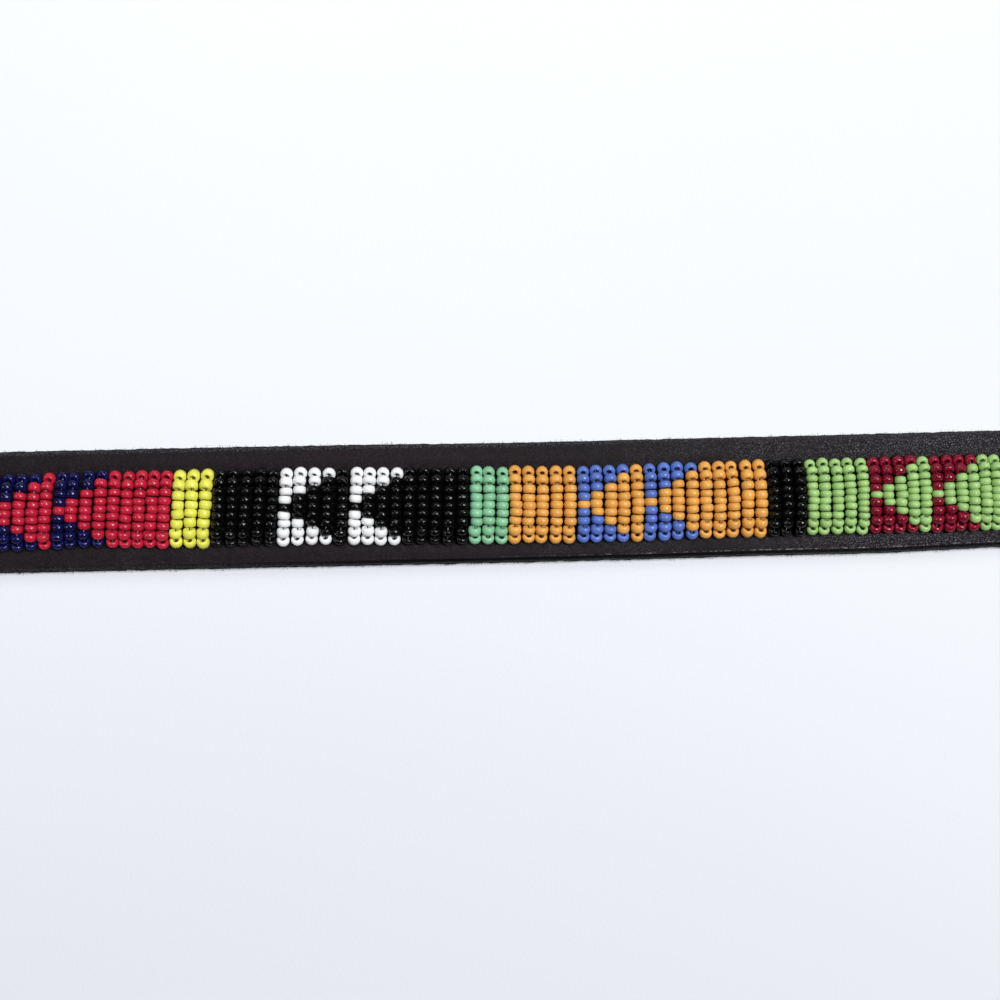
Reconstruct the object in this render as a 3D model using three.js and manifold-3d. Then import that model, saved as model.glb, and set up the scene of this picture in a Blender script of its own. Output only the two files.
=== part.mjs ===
// A leather waist belt with columns of seed beads sewn across its face.
// It lies flat with the beads up: X runs from the buckle to the tip, Y across the strap, Z up.
// Lengths are in millimetres. The origin is the middle of the underside of the whole belt.
import * as THREE from 'three';
import { mergeVertices } from 'three/addons/utils/BufferGeometryUtils.js';
import Module from 'manifold-3d';

// Beads: a column is one thread of beads laid across the strap.
const beadDiameter = 3.0;
const beadLength = 1.9; // along the thread
const beadsPerColumn = 9;
const columnGap = 0.18; // between the beads of neighbouring columns
const smallBeadDiameter = 2.8; // the lime beads, whose columns are closer
const smallColumnGap = 0.12;
const endSplay = 1.45; // what a column's two tilted end beads add to its width
const archLift = 0.45; // how far a column's middle arches off the leather
const beadSeat = 0.05; // between the leather and the beads
const endHeight = 0.55; // of a column's ends, as a share of its middle's height
const endSlope = 1.1; // over which a column slopes down to its end, as a share of a bead's length

// Bead pattern: the stripes and motifs follow each other along the strap.
const stripeColumns = 3;
const motifColumns = 19;
const motifCount = 10;

// Leather.
const leatherMargin = 4.7; // bare leather beside the bead field
const frontThickness = 2.0;
const backingThickness = 1.4; // the front is skived to this where it folds under
const backingOverhang = 0.25; // the raw edge that shows beside the front
const glueLine = 0.1;
const shoulderRadius = 1.2; // rounded edge of the front's face
const shoulderLimit = 0.7; // of the leather's thickness, at most
const plainAtBuckle = 55; // from the buckle's bar to the first bead
const plainAtHoles = 75; // from the last bead to the first hole
const tipBeyondHoles = 75;
const tipLength = 22; // the rounded part of the tip
const tipTurn = 84; // degrees of the tip's quarter oval, which stops just short of a point

// Fold round the buckle's bar.
const barRadius = 1.6;
const barClearance = 0.3;
const foldUnder = 45; // length of leather turned under, from the bar
const foldRamp = 16; // over which the front comes down from the bar
const foldEndGap = 0.5;
const slotReach = 11; // of the prong's slot, from the bar to the middle of its round end
const slotClearance = 0.6; // beside the prong's knuckle

// Punched holes.
const holeCount = 5;
const holeSpacing = 25;
const holeRadius = 2.5;

// Buckle: a frame, its bar and its prong, in one plain piece.
const wireRadius = 2.0;
const frameReach = 26; // from the bar to the frame's front
const frameCorner = 6;
const buckleClearance = 1.4; // beside the strap, inside the frame
const prongRadius = 1.5;
const prongTipRadius = 1.1;
const prongOvershoot = 2.2; // past the middle of the frame's front
const prongTipDrop = 0.3; // of the prong's end, from where it rests on the frame
const prongSeat = 0.2; // how deep the prong beds on the frame's front
const knuckleWall = 1.2; // round the bar, where the prong hangs on it
const knuckleFlange = 0.5; // beside the prong
const bossOversize = 0.3; // of the round ends of the bar, over the frame's wire
const floorClearance = 0.1; // under the frame's front

// Facets.
const beadRidgeAngles = [45, 90, 135]; // degrees, the points of a column's rounded top
const shoulderSteps = 3;
const foldSteps = 10;
const rampSteps = 7;
const tipSteps = 8;
const wireSides = 12;
const cornerSteps = 6;
const holeSides = 20;

// Sizes that follow.
const fieldWidth = beadsPerColumn * beadLength + endSplay;
const strapHalf = fieldWidth / 2 + leatherMargin;
const backingHalf = strapHalf + backingOverhang;
const fleshHeight = backingThickness + glueLine; // underside of the front
const faceHeight = fleshHeight + frontThickness;
const foldRadius = barRadius + barClearance; // inside of the fold
const barHeight = backingThickness + foldRadius;
const frameHalf = strapHalf + buckleClearance + wireRadius;
const knuckleHalfWidth = prongRadius + knuckleFlange;
const slotHalfWidth = knuckleHalfWidth + slotClearance;
const cutHeight = 4 * (barHeight + foldRadius + frontThickness); // of the punch for holes and slot

// The prong's arch. along: share of the way from the bar to the frame's front; height: share of the prong's
// height where it rests there; taper: 0 at the root's radius, 1 at the tip's.
const prongArch = [
  { along: -0.06, height: 0.33, taper: 0 },
  { along: 0.12, height: 0.69, taper: 0 },
  { along: 0.3, height: 0.97, taper: 0.1 },
  { along: 0.6, height: 1.1, taper: 0.35 },
  { along: 1, height: 1, taper: 1 },
];

// One repeat of the pattern: each motif's ground, and the stripe that comes after it.
const repeat = [
  { ground: 'black', stripe: 'mint' },
  { ground: 'orange', stripe: 'black' },
  { ground: 'lime', stripe: 'white' },
  { ground: 'red', stripe: 'yellow' },
];
const smallBeads = ['lime'];

const blocks = beadBlocks();
const lastBlock = blocks[blocks.length - 1];
const lastColumn = lastBlock.firstColumn + (lastBlock.columns - 1) * lastBlock.pitch;
const fieldEnd = lastColumn + lastBlock.diameter / 2;
const firstHole = fieldEnd + plainAtHoles;
const strapEnd = firstHole + (holeCount - 1) * holeSpacing + tipBeyondHoles;

const beadColours = {
  black: 0x0b0b0d,
  mint: 0x7fc69a,
  orange: 0xea9f45,
  lime: 0x9bd069,
  white: 0xf0f0f2,
  red: 0xc62b40,
  yellow: 0xe9e34c,
};

const leather = new THREE.MeshStandardMaterial({ color: 0x282325, roughness: 0.62, metalness: 0 });
const rawLeather = new THREE.MeshStandardMaterial({ color: 0x33302f, roughness: 0.9, metalness: 0 });
const nickel = new THREE.MeshStandardMaterial({ color: 0xb9b7b0, roughness: 0.32, metalness: 1 });
const glass = (name) =>
  new THREE.MeshStandardMaterial({ color: beadColours[name], roughness: 0.22, metalness: 0 });

const wasm = await Module();
wasm.setup();

// Closed solids

// Joins rings of points into a closed surface. A ring runs counter-clockwise seen from where the rings lead,
// and outline gives its flat shape, from which both end caps are made.
function loft(rings, outline) {
  const count = outline.length;
  const points = rings.flat();
  const faces = [];
  for (let i = 0; i + 1 < rings.length; i++) {
    for (let j = 0; j < count; j++) {
      const a = i * count + j;
      const b = i * count + ((j + 1) % count);
      faces.push(a, b, b + count, a, b + count, a + count);
    }
  }
  const last = (rings.length - 1) * count;
  for (const [a, b, c] of THREE.ShapeUtils.triangulateShape(outline, [])) {
    faces.push(a, c, b, last + a, last + b, last + c);
  }
  return new THREE.BufferGeometry().setFromPoints(points).setIndex(faces);
}

// A round bar through points that lie in one plane, with a radius at each point.
function roundBar(points, radii, planeNormal) {
  const outline = Array.from({ length: wireSides }, (_, k) => {
    const angle = (2 * Math.PI * k) / wireSides;
    return new THREE.Vector2(Math.cos(angle), Math.sin(angle));
  });
  const rings = points.map((point, i) => {
    const before = points[Math.max(0, i - 1)];
    const after = points[Math.min(points.length - 1, i + 1)];
    const along = after.clone().sub(before).normalize();
    const aside = planeNormal.clone().cross(along);
    return outline.map((o) =>
      point
        .clone()
        .addScaledVector(aside, o.x * radii[i])
        .addScaledVector(planeNormal, o.y * radii[i]),
    );
  });
  return loft(rings, outline);
}

function toManifold(geometry) {
  const bare = geometry.index ? geometry.toNonIndexed() : geometry.clone();
  bare.deleteAttribute('normal');
  bare.deleteAttribute('uv');
  const merged = mergeVertices(bare, 1e-4);
  return new wasm.Manifold(
    new wasm.Mesh({
      numProp: 3,
      vertProperties: merged.attributes.position.array,
      triVerts: new Uint32Array(merged.index.array),
    }),
  );
}

function toGeometry(manifold) {
  const mesh = manifold.getMesh();
  return new THREE.BufferGeometry()
    .setAttribute('position', new THREE.BufferAttribute(mesh.vertProperties, 3))
    .setIndex(new THREE.BufferAttribute(mesh.triVerts, 1));
}

// Leather

// The strap's section: flat on the flesh side at 0, with rounded shoulders on the face.
function shoulderedSection(half, thickness) {
  const radius = Math.min(shoulderRadius, shoulderLimit * Math.min(half, thickness));
  const points = [new THREE.Vector2(-half, 0), new THREE.Vector2(half, 0)];
  for (const side of [1, -1]) {
    for (let k = 0; k <= shoulderSteps; k++) {
      const turn = (Math.PI / 2) * (k / shoulderSteps);
      const angle = side > 0 ? turn : Math.PI / 2 - turn;
      points.push(
        new THREE.Vector2(
          side * (half - radius + radius * Math.cos(angle)),
          thickness - radius + radius * Math.sin(angle),
        ),
      );
    }
  }
  return points;
}

function squareSection(half, thickness) {
  return [
    new THREE.Vector2(-half, 0),
    new THREE.Vector2(half, 0),
    new THREE.Vector2(half, thickness),
    new THREE.Vector2(-half, thickness),
  ];
}

// Lays a section at each station of a line in the XZ plane. The section's height is measured from the line,
// on the side that is up where the line runs towards +X.
function layStrap(stations, sectionOf) {
  const outline = sectionOf(stations[0].half, stations[0].thickness);
  const rings = stations.map(({ x, z, angle, half, thickness }) =>
    sectionOf(half, thickness).map(
      (p) => new THREE.Vector3(x - p.y * Math.sin(angle), p.x, z + p.y * Math.cos(angle)),
    ),
  );
  return loft(rings, outline);
}

// Stations of the rounded tip, from its full width to almost nothing.
function tipStations(z, half, thickness, length) {
  const stations = [];
  for (let k = 0; k <= tipSteps; k++) {
    const turn = THREE.MathUtils.degToRad(tipTurn) * (k / tipSteps);
    stations.push({
      x: strapEnd - tipLength + length * Math.sin(turn),
      z,
      angle: 0,
      half: half * Math.cos(turn),
      thickness,
    });
  }
  return stations;
}

// The front from its folded end, round the bar, along the face and to the tip.
function frontStations() {
  const half = strapHalf;
  const stations = [
    { x: foldUnder, z: backingThickness, angle: Math.PI, half, thickness: backingThickness },
  ];
  for (let k = 0; k <= foldSteps; k++) {
    const turn = -Math.PI / 2 - Math.PI * (k / foldSteps);
    stations.push({
      x: foldRadius * Math.cos(turn),
      z: barHeight + foldRadius * Math.sin(turn),
      angle: turn - Math.PI / 2,
      half,
      thickness: backingThickness,
    });
  }
  const drop = barHeight + foldRadius - fleshHeight;
  for (let k = 1; k <= rampSteps; k++) {
    const share = k / rampSteps;
    stations.push({
      x: foldRamp * share,
      z: fleshHeight + drop * (0.5 + 0.5 * Math.cos(Math.PI * share)),
      angle: Math.atan(((-drop * Math.PI) / 2 / foldRamp) * Math.sin(Math.PI * share)),
      half,
      thickness: THREE.MathUtils.lerp(backingThickness, frontThickness, share),
    });
  }
  return stations.concat(tipStations(fleshHeight, half, frontThickness, tipLength));
}

function backingStations() {
  const thickness = backingThickness;
  const start = { x: foldUnder + foldEndGap, z: 0, angle: 0, half: backingHalf, thickness };
  return [start, ...tipStations(0, backingHalf, thickness, tipLength + backingOverhang)];
}

// An upright punch, taller than the belt.
function punch(x, radius) {
  const upright = new THREE.CylinderGeometry(radius, radius, cutHeight, holeSides).rotateX(Math.PI / 2);
  return upright.translate(x, 0, 0);
}

function cutHoles(manifold) {
  for (let k = 0; k < holeCount; k++) {
    manifold = manifold.subtract(toManifold(punch(firstHole + k * holeSpacing, holeRadius)));
  }
  return manifold;
}

// The slot for the prong runs through both layers of the fold.
function cutSlot(manifold) {
  const pastFold = 2 * (foldRadius + backingThickness);
  const length = pastFold + slotReach;
  const middle = slotReach - length / 2;
  const slot = new THREE.BoxGeometry(length, 2 * slotHalfWidth, cutHeight).translate(middle, 0, 0);
  const end = punch(slotReach, slotHalfWidth);
  return manifold.subtract(toManifold(slot)).subtract(toManifold(end));
}

function makeFront() {
  return toGeometry(cutSlot(cutHoles(toManifold(layStrap(frontStations(), shoulderedSection)))));
}

function makeBacking() {
  return toGeometry(cutHoles(toManifold(layStrap(backingStations(), squareSection))));
}

// Beads

// A run of neighbouring columns: one rounded ridge for each column, sloping down at both ends.
function makeBeadBlock({ columns, diameter, pitch }) {
  const radius = diameter / 2;
  const middle = archLift + radius;
  const left = -radius;
  const right = (columns - 1) * pitch + radius;
  const outline = [new THREE.Vector2(left, 0), new THREE.Vector2(right, 0)];
  for (let column = columns - 1; column >= 0; column--) {
    const centre = column * pitch;
    const valley = column === columns - 1 ? right : centre + pitch / 2;
    outline.push(new THREE.Vector2(valley, middle));
    for (const degrees of beadRidgeAngles) {
      const angle = THREE.MathUtils.degToRad(degrees);
      outline.push(new THREE.Vector2(centre + radius * Math.cos(angle), middle + radius * Math.sin(angle)));
    }
  }
  outline.push(new THREE.Vector2(left, middle));
  const shoulder = fieldWidth / 2 - endSlope * beadLength;
  const sections = [
    { y: fieldWidth / 2, height: endHeight },
    { y: shoulder, height: 1 },
    { y: -shoulder, height: 1 },
    { y: -fieldWidth / 2, height: endHeight },
  ];
  const rings = sections.map(({ y, height }) => outline.map((p) => new THREE.Vector3(p.x, y, p.y * height)));
  return loft(rings, outline);
}

// The stripes and motifs in order from the buckle to the tip, each with its bead size and the place of its
// first column.
function beadBlocks() {
  const number = (n) => String(n).padStart(2, '0');
  const before = repeat[repeat.length - 1];
  const made = [{ name: `bead_stripe_01_${before.stripe}`, colour: before.stripe, columns: stripeColumns }];
  for (let k = 0; k < motifCount; k++) {
    const { ground, stripe } = repeat[k % repeat.length];
    made.push({ name: `bead_motif_${number(k + 1)}_${ground}`, colour: ground, columns: motifColumns });
    made.push({ name: `bead_stripe_${number(k + 2)}_${stripe}`, colour: stripe, columns: stripeColumns });
  }
  let reached = plainAtBuckle - columnGap / 2;
  for (const block of made) {
    const small = smallBeads.includes(block.colour);
    block.diameter = small ? smallBeadDiameter : beadDiameter;
    block.pitch = block.diameter + (small ? smallColumnGap : columnGap);
    block.firstColumn = reached + block.pitch / 2;
    reached += block.columns * block.pitch;
  }
  return made;
}

// Buckle

// In its own frame: the bar's axis is Y at the origin, and the frame reaches towards -X.
function makeBuckle() {
  const up = new THREE.Vector3(0, 0, 1);
  const framePoints = [new THREE.Vector3(0, -frameHalf, 0)];
  for (const side of [-1, 1]) {
    for (let k = 0; k <= cornerSteps; k++) {
      const turn = (Math.PI / 2) * (side < 0 ? k / cornerSteps : 1 - k / cornerSteps);
      framePoints.push(
        new THREE.Vector3(
          frameCorner - frameReach - frameCorner * Math.sin(turn),
          side * (frameHalf - frameCorner + frameCorner * Math.cos(turn)),
          0,
        ),
      );
    }
  }
  framePoints.push(new THREE.Vector3(0, frameHalf, 0));
  const frame = roundBar(framePoints, framePoints.map(() => wireRadius), up);

  const acrossBar = (radius, half) =>
    roundBar([new THREE.Vector3(0, -half, 0), new THREE.Vector3(0, half, 0)], [radius, radius], up);
  const bar = acrossBar(barRadius, frameHalf);
  const knuckle = acrossBar(barRadius + knuckleWall, knuckleHalfWidth);
  const bossRadius = wireRadius + bossOversize;
  const bosses = [-1, 1].map((side) =>
    new THREE.SphereGeometry(bossRadius, wireSides, wireSides / 2).translate(0, side * frameHalf, 0),
  );

  const seat = wireRadius + prongTipRadius - prongSeat;
  const prongPoints = prongArch.map(
    ({ along, height }) => new THREE.Vector3(-along * frameReach, 0, height * seat),
  );
  const prongRadii = prongArch.map(({ taper }) => THREE.MathUtils.lerp(prongRadius, prongTipRadius, taper));
  prongPoints.push(new THREE.Vector3(-frameReach - prongOvershoot, 0, seat - prongTipDrop));
  prongRadii.push(prongTipRadius - prongTipDrop);
  const prong = roundBar(prongPoints, prongRadii, new THREE.Vector3(0, 1, 0));

  let whole = toManifold(frame);
  for (const piece of [bar, knuckle, prong, ...bosses]) {
    whole = whole.add(toManifold(piece));
  }
  return toGeometry(whole);
}

// Assembly

const belt = new THREE.Group();

function addPiece(name, geometry, material) {
  const piece = new THREE.Mesh(geometry, material);
  piece.name = name;
  belt.add(piece);
  return piece;
}

addPiece('front_leather', makeFront(), leather);
addPiece('backing_leather', makeBacking(), rawLeather);

// The buckle leans down from its bar until the frame's front is just clear of the floor.
const buckle = addPiece('buckle', makeBuckle(), nickel);
buckle.position.set(0, 0, barHeight);
buckle.rotation.y = -Math.asin((barHeight - wireRadius - floorClearance) / frameReach);

for (const block of blocks) {
  const piece = addPiece(block.name, makeBeadBlock(block), glass(block.colour));
  piece.position.set(block.firstColumn, 0, faceHeight + beadSeat);
}

// The whole belt is centred along X over the origin.
const reach = new THREE.Box3().setFromObject(belt, true);
belt.position.x = -(reach.min.x + reach.max.x) / 2;

export default belt;
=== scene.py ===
"""A leather belt with columns of glass seed beads sewn across its face, lying flat with the beads up.

X runs from the buckle to the tip, Y across the strap, Z up. Sizes are in millimetres until a mesh is made.
"""

import random
from math import asin, atan, cos, pi, radians, sin, tan

import bmesh
import bpy
import numpy as np
from mathutils import Matrix, Vector, noise


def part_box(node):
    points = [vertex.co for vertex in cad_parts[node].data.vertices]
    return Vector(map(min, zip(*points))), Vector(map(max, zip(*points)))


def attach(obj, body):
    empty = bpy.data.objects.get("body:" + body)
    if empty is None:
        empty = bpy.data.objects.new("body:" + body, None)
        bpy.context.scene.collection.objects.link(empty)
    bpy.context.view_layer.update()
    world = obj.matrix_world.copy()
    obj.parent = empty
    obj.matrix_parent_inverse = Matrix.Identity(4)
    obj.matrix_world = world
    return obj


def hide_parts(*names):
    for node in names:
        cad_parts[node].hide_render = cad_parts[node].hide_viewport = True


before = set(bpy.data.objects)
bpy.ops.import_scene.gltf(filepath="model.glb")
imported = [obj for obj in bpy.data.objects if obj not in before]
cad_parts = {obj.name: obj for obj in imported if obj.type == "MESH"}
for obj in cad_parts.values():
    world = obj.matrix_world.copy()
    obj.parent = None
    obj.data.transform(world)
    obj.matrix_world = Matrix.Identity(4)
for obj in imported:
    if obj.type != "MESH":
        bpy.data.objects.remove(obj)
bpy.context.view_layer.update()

MM = 0.001

# Beads
BEAD = 3.0
SMALL_BEAD = 2.8  # the lime ones
BEAD_HOLE = 1.15
PLUMP = 1.04  # how much wider the glass is than its lot's size
COLUMN_PITCH = 3.18
SMALL_PITCH = 2.92
STRIPE_COLUMNS = 3
MOTIF_COLUMNS = 19
FIELD_WIDTH = 18.55
END_REACH = 1.5  # of the tilted end bead beyond its own middle
END_STRIDES = [1.0, 1.16, 1.07]  # between the first beads of a column, in bead lengths
END_TILTS = [55, 26, 8]  # degrees
END_TILT_SPREAD = [5, 4, 3]
END_HEIGHTS = [0.85, 1.8, 1.93]  # of the beads' middles over the leather
MIDDLE_HEIGHT = 1.95
MIDDLE_TILT_SPREAD = 2
BEAD_ROUNDING = 0.23  # how deep the rounding of its outside is, of its diameter
BEAD_SIDES = 12
BEAD_SECTION = 8
CROWDING = 1.07  # how much longer a bead is than its share of the column
DARK_RED = {"long": 1.12, "wide": 1.04}  # beside the lime ones
LIME_BESIDE_DARK_RED = 0.97
THREAD = 0.12
THREAD_SIDES = 6
THREAD_END = [(0.95, -1.45), (0.7, -0.8)]  # out and up from the end bead's middle, from the needle's hole on

# How unevenly they are made and sewn: the usual difference from the even ones
FIELD_SPREAD = 0.012  # of a column's length, at most
SHIFT_SPREAD = 0.06  # of a column, along itself
ASIDE_SPREAD = 0.05
TURN_SPREAD = 0.006
LENGTH_SPREAD = 0.06  # of a bead
WIDTH_SPREAD = 0.024
PLACE_SPREAD = 0.08
YAW_SPREAD = 3.4  # degrees
SHADE_SPREAD = 0.2

# Leather
STRAP_HALF = 13.975
BACKING_HALF = 14.225
FRONT = 2.0
SKIVED = 1.4  # the front's thickness where it is folded under
BACKING = 1.4
FLESH = 1.5  # height of the front's underside
SHOULDER = 1.2
SHOULDER_SHARE = 0.7  # of the thickness, at most
TIP = 22.0
BACKING_TIP = 22.25
PLAIN_AT_BUCKLE = 55.0
FOLD_UNDER = 45.0
FOLD_GAP = 0.5
FOLD_RAMP = 16.0
BAR = 1.6
FOLD_RADIUS = 1.9
BAR_HEIGHT = BACKING + FOLD_RADIUS
SLOT_REACH = 11.0
SLOT_HALF = 2.6
HOLE_RADIUS = 2.5
HOLE_SPACING = 25.0
HOLE_COUNT = 5
PLAIN_AT_HOLES = 75.0
PLAIN_AFTER_HOLES = 75.0
DENT = 0.38  # the pull of the thread at a needle's hole
DENT_SPREAD = 0.14
DENT_RADIUS = 0.75
SWELL = 0.16  # of the leather just outside the needles' holes
SUNK = 0.12  # the leather under the beads

# Loose hairs of the cut edges
HAIRS = 4.2  # for each millimetre
HAIR = 0.8
HAIR_RADIUS = 0.06
BACKING_HAIRS = (0.5, 1.3)  # heights
FRONT_HAIRS = (1.7, 2.6)

# The fold's stitches
STITCH_ROWS = (18.5, 40.0)  # from the bar
STITCH_COUNT = 6
STITCH_PITCH = 4.2
STITCH_HALF = 1.5
STITCH_RADIUS = 0.33
STITCH_RISE = 0.35
STITCH_SINK = 0.12
UNDER_STITCH = 0.38
STITCH_STEPS = 8
STITCH_SIDES = 8

# Buckle
WIRE = 2.0
FRAME_REACH = 26.0
FRAME_CORNER = 6.0
FRAME_HALF = 17.375
PRONG = 1.5
PRONG_TIP = 1.1
KNUCKLE = 2.8
KNUCKLE_HALF = 2.0
BOSS = 2.3
FRAME_CLEARANCE = 0.1
CORNER_STEPS = 12
KNUCKLE_ROUNDING = [(0.0, 0.65), (0.25, 0.15), (0.7, 0.0)]  # inwards from its end, and off its radius
# The prong's places along its reach, with their height and taper
PRONG_ARCH = [(-0.06, 0.33, 0), (0.12, 0.69, 0), (0.3, 0.97, 0.1), (0.6, 1.1, 0.35), (1, 1, 1)]
PRONG_ROUNDING = [(0, 1.05), (0.5, 0.9), (0.75, 0.6), (0.85, 0.15)]  # past its reach, and its radius
PRONG_OVERHANG = 1.4

# Floor and camera, in metres and degrees
FLOOR_REACH = 3.0
FLOOR_SIDES = 96
FLOOR_GAP = 0.02  # millimetres under the belt
CAMERA_AIM = (0.0006, 0.00555)  # Y and Z of what it looks at
CAMERA_AWAY = 0.32815
CAMERA_TILT = 0.4
CAMERA_ROLL = -1.27

CONTRAST = {"black": "white", "orange": "blue", "lime": "dark_red", "red": "navy"}
TRIANGLE_STARTS = [5, 10]
TRIANGLE_ENDS = [4, 3, 2, 1]  # contrast beads at each end of a triangle's columns

# How far the columns stray from their even places, and the strap's edges from straight ones: (X, how far)
STRAY_X = [
    (-230, 0), (-185, 0.15), (-182, -0.1), (-172, 0.17), (-160, -0.6), (-147, -0.57), (-131, -0.8),
    (-115, -0.12), (-105, -0.12), (-86, -0.35), (-77, -0.52), (-61, -0.35), (-45, -0.38), (-32, 0),
    (-20, 0.3), (-13, 0.2), (-7, -0.12), (2, 0.2), (12, 0.35), (26, 0.35), (34, 0.1), (45, 0),
]
STRAY_Y = [
    (-260, -0.2), (-198, 0.05), (-175, 0.53), (-164, 0.27), (-154, 0.05), (-124, 0.08), (-106, -0.3),
    (-88, -0.44), (-76, -0.65), (-60, -0.87), (-48, -0.77), (-36, -0.56), (-22, -0.44), (-3, -0.3),
    (25, -0.2), (90, -0.25),
]
UPPER_EDGE = [
    (-230, 0.3), (-198, 0.45), (-150, 0.45), (-110, 0.3), (-80, 0), (0, 0.2), (35, 0.4), (80, 0.1),
]
LOWER_EDGE = [
    (-198, 0), (-81, 0.2), (-50, 0.15), (-20, -0.1), (10, -0.1), (20, -0.35), (35, -0.85), (60, -0.7),
    (110, 0),
]

FACE = FLESH + FRONT
BLOCKS = sorted((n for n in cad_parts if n.startswith("bead_")), key=lambda n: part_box(n)[0].x)
FIELD_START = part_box(BLOCKS[0])[0].x / MM
FIELD_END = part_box(BLOCKS[-1])[1].x / MM
BAR_X = FIELD_START - PLAIN_AT_BUCKLE
FIRST_HOLE = FIELD_END + PLAIN_AT_HOLES - BAR_X  # from the bar
STRAP_END = FIRST_HOLE + (HOLE_COUNT - 1) * HOLE_SPACING + PLAIN_AFTER_HOLES
MIDDLE_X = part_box("bead_stripe_06_mint")[0].x / MM + 7.09  # what the camera looks at


# ---- nodes


def operator(operation, reflected=False):
    """An operator of Wire, as a Math node."""

    def apply(self, value):
        return self.nodes.math(operation, *((value, self) if reflected else (self, value)))

    return apply


class Wire:
    """The output of a node. Arithmetic on it adds Math nodes."""

    def __init__(self, nodes, socket):
        self.nodes = nodes
        self.socket = socket

    def other(self, name):
        return Wire(self.nodes, self.socket.node.outputs[name])

    __add__ = __radd__ = operator("ADD")
    __sub__, __rsub__ = operator("SUBTRACT"), operator("SUBTRACT", True)
    __mul__ = __rmul__ = operator("MULTIPLY")
    __truediv__, __rtruediv__ = operator("DIVIDE"), operator("DIVIDE", True)
    __pow__, __rpow__ = operator("POWER"), operator("POWER", True)


class Nodes:
    """A tree of nodes, of a material or of Geometry Nodes."""

    def __init__(self, tree):
        self.tree = tree

    def node(self, kind, inputs=None, settings=None, output=0):
        made = self.tree.nodes.new(kind)
        for name, value in (settings or {}).items():
            setattr(made, name, value)
        for key, value in (inputs or {}).items():
            if isinstance(value, Wire):
                self.tree.links.new(value.socket, made.inputs[key])
            else:
                made.inputs[key].default_value = value
        return Wire(self, made.outputs[output])

    def math(self, operation, *values, clamp=False):
        settings = {"operation": operation, "use_clamp": clamp}
        return self.node("ShaderNodeMath", dict(enumerate(values)), settings)

    def ease(self, value, start, end):
        """0 before start, 1 after end, and smooth between them."""
        settings = {"interpolation_type": "SMOOTHSTEP"}
        return self.node("ShaderNodeMapRange", {"Value": value, 1: start, 2: end}, settings)

    def blend(self, factor, first, second):
        """From one colour to another."""
        first, second = [c if isinstance(c, Wire) else (*c, 1) for c in (first, second)]
        inputs = {0: factor, 6: first, 7: second}
        return self.node("ShaderNodeMix", inputs, {"data_type": "RGBA"}, output=2)

    def parts(self, vector):
        first = self.node("ShaderNodeSeparateXYZ", {0: vector})
        return first, first.other("Y"), first.other("Z")


class Finish(Nodes):
    """A material, with the maker's usual patterns."""

    def __init__(self, name):
        self.material = bpy.data.materials.new(name)
        self.material.use_nodes = True
        super().__init__(self.material.node_tree)
        self.place = self.node("ShaderNodeTexCoord", output="Object")
        for made in self.tree.nodes:
            if made.type == "BSDF_PRINCIPLED":
                self.shader = made

    def cloud(self, scale, detail=2.0, rough=0.5, vector=None):
        """Noise whose patches are about 1 / scale metres across."""
        inputs = {"Vector": vector or self.place, "Scale": scale, "Detail": detail, "Roughness": rough}
        return self.node("ShaderNodeTexNoise", inputs)

    def cells(self, scale, feature="F1", vector=None):
        inputs = {"Vector": vector or self.place, "Scale": scale}
        return self.node("ShaderNodeTexVoronoi", inputs, {"feature": feature})

    def stretched(self, amounts):
        return self.node("ShaderNodeMapping", {"Vector": self.place, "Scale": amounts})

    def attribute(self, name):
        return self.node("ShaderNodeAttribute", settings={"attribute_name": name}, output="Fac")

    def bump(self, height, distance):
        """distance is how far a height of 1 stands out, in millimetres."""
        return self.node("ShaderNodeBump", {"Height": height, "Distance": distance * MM})

    def set(self, **values):
        """Sockets of the shader, by their names with _ for a space."""
        for name, value in values.items():
            socket = self.shader.inputs[name.replace("_", " ")]
            if isinstance(value, Wire):
                self.tree.links.new(value.socket, socket)
            elif socket.type == "RGBA":
                socket.default_value = (*value, 1)
            else:
                socket.default_value = value
        return self.material


# ---- finishes


def glass_finish(
    name, colour, rough, painted_rim_glow=None, spread=0.3, cloudy=0.1, specular=0.4, ripples=0.07, darkest=0.55
):
    """Opaque glass. No two beads of a lot have quite the same shade, and clearer glass gets a painted glow of
    light at the rim.
    """
    look = Finish(name)
    lot = look.attribute("lot")
    rim = look.attribute("rim")
    cloud = look.cloud(700, 2)
    shade = (lot - 0.5) * spread + (cloud - 0.5) * cloudy
    dark = tuple(c * darkest for c in colour)
    light = tuple(min(1.0, c * 1.35 + 0.004) for c in colour)
    tone = look.blend(look.math("ADD", shade, 0.56, clamp=True), dark, light)
    if painted_rim_glow:
        # Painted glow: clearer glass is painted lighter towards the ends of its hole, as if light shone
        # through it.
        tone = look.blend(look.ease(rim + (cloud - 0.5) * 0.5, 0.45, 0.95) * 0.8, tone, painted_rim_glow)
    ripple = look.cloud(1500, 2, 0.6)
    return look.set(
        Base_Color=tone,
        Roughness=rough + (ripple - 0.5) * 0.12,
        Specular_IOR_Level=specular,
        Normal=look.bump(ripple, ripples),
    )


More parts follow.
